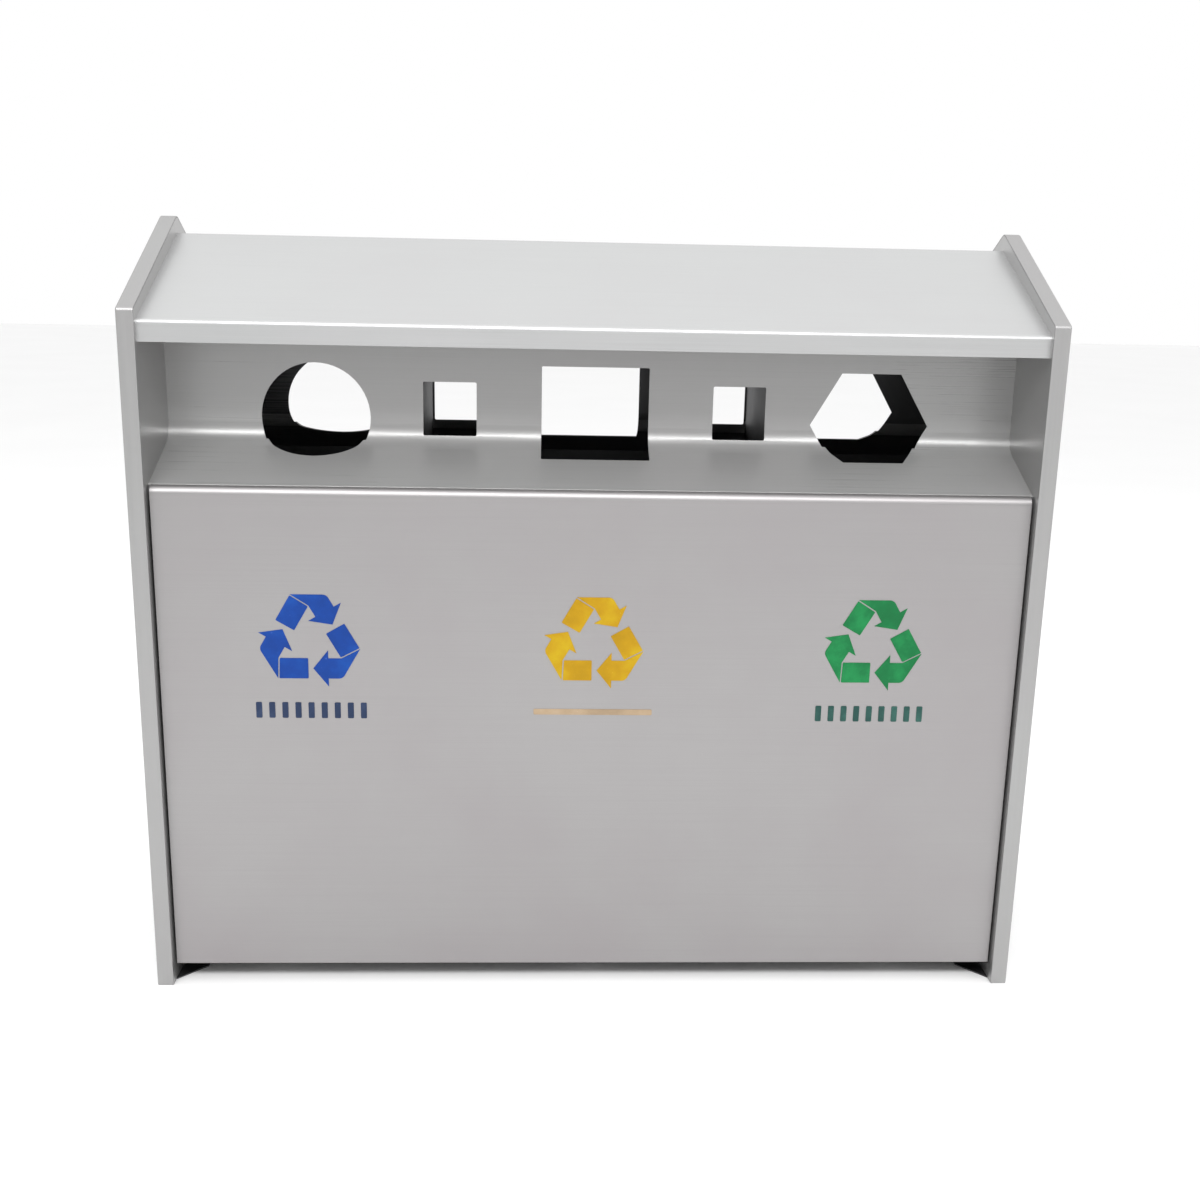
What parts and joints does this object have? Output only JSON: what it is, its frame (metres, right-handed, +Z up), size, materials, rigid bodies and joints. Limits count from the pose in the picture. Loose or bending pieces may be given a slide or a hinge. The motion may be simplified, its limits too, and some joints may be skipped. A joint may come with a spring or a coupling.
{
  "type": "recycling bin station",
  "caption": "Free-standing brushed steel recycling station with a gable roof, shaped waste openings on both sides, a drop-down front door and lift-out bins inside",
  "frame": {"origin": "on the floor under the middle of the cabinet", "axes": "+X to the right as seen from the front, -Y out of the front face, +Z up"},
  "size_m": [1.2, 0.46, 1.0419],
  "materials": {
    "bin_zinc": "galvanised",
    "blue_ink": "satin",
    "blue_vinyl": "satin",
    "bright_steel": "polished",
    "catch_plastic": "matte",
    "door_steel": "brushed",
    "foot_plastic": "matte",
    "frame_steel": "satin",
    "green_ink": "satin",
    "green_vinyl": "satin",
    "hopper_steel": "brushed",
    "liner_steel": "brushed",
    "rear_steel": "brushed",
    "roof_steel": "brushed",
    "side_steel": "brushed",
    "tan_vinyl": "satin",
    "wire_steel": "galvanised",
    "yellow_vinyl": "satin"
  },
  "bodies": {
    "cabinet": {"base_pan": "frame_steel", "base_rail_front": "frame_steel", "base_rail_rear": "frame_steel", "bin_guide_inner_left": "frame_steel", "bin_guide_inner_right": "frame_steel", "bin_guide_outer_left": "frame_steel", "bin_guide_outer_right": "frame_steel", "divider_inner_left": "frame_steel", "divider_inner_right": "frame_steel", "divider_outer_left": "frame_steel", "divider_outer_right": "frame_steel", "floor_flange_left": "frame_steel", "floor_flange_right": "frame_steel", "foot_front_left": "foot_plastic", "foot_front_right": "foot_plastic", "foot_rear_left": "foot_plastic", "foot_rear_right": "foot_plastic", "hinge_bracket_left": "frame_steel", "hinge_bracket_middle": "frame_steel", "hinge_bracket_right": "frame_steel", "hinge_pins": "bright_steel", "hopper_front": "hopper_steel", "hopper_rear": "hopper_steel", "magnet_catch_left": "catch_plastic", "magnet_catch_right": "catch_plastic", "rear_panel": "rear_steel", "rear_panel_screws": "bright_steel", "ridge_stiffener": "frame_steel", "roof": "roof_steel", "side_liner_left": "liner_steel", "side_liner_right": "liner_steel", "side_panel_left": "side_steel", "side_panel_right": "side_steel"},
    "bin_left": {"large_bin_left": "bin_zinc"},
    "bail_left": {"bail_handle_left": "wire_steel"},
    "bin_middle": {"large_bin_middle": "bin_zinc"},
    "bail_middle": {"bail_handle_middle": "wire_steel"},
    "bin_right": {"large_bin_right": "bin_zinc"},
    "bail_right": {"bail_handle_right": "wire_steel"},
    "slim_bin_left": {"narrow_bin_left": "bin_zinc"},
    "slim_bin_right": {"narrow_bin_right": "bin_zinc"},
    "door": {"door_skin": "door_steel", "door_stiffener_left": "frame_steel", "door_stiffener_right": "frame_steel", "hinge_block_left": "frame_steel", "hinge_block_middle": "frame_steel", "hinge_block_right": "frame_steel", "label_bar_yellow": "tan_vinyl", "label_row_blue": "blue_ink", "label_row_green": "green_ink", "sign_blue": "blue_vinyl", "sign_green": "green_vinyl", "sign_yellow": "yellow_vinyl", "strike_plate_left": "bright_steel", "strike_plate_right": "bright_steel"}
  },
  "joints": [
    {"name": "door_hinge", "type": "hinge", "parent": "cabinet", "child": "door", "pos_m": [0, -0.2, 0.036], "axis": [1, 0, 0], "range_deg": [0, 90]},
    {"name": "bin_left_lift", "type": "slide", "parent": "cabinet", "child": "bin_left", "axis": [0, 0, 1], "range_m": [0, 0.018]},
    {"name": "bin_middle_lift", "type": "slide", "parent": "cabinet", "child": "bin_middle", "axis": [0, 0, 1], "range_m": [0, 0.018]},
    {"name": "bin_right_lift", "type": "slide", "parent": "cabinet", "child": "bin_right", "axis": [0, 0, 1], "range_m": [0, 0.018]},
    {"name": "slim_bin_left_lift", "type": "slide", "parent": "cabinet", "child": "slim_bin_left", "axis": [0, 0, 1], "range_m": [0, 0.018]},
    {"name": "slim_bin_right_lift", "type": "slide", "parent": "cabinet", "child": "slim_bin_right", "axis": [0, 0, 1], "range_m": [0, 0.018]},
    {"name": "bail_left_swing", "type": "hinge", "parent": "bin_left", "child": "bail_left", "pos_m": [-0.385, 0, 0.5705], "axis": [-1, 0, 0], "range_deg": [0, 180]},
    {"name": "bail_middle_swing", "type": "hinge", "parent": "bin_middle", "child": "bail_middle", "pos_m": [0, 0, 0.5705], "axis": [-1, 0, 0], "range_deg": [0, 180]},
    {"name": "bail_right_swing", "type": "hinge", "parent": "bin_right", "child": "bail_right", "pos_m": [0.385, 0, 0.5705], "axis": [-1, 0, 0], "range_deg": [0, 180]}
  ]
}
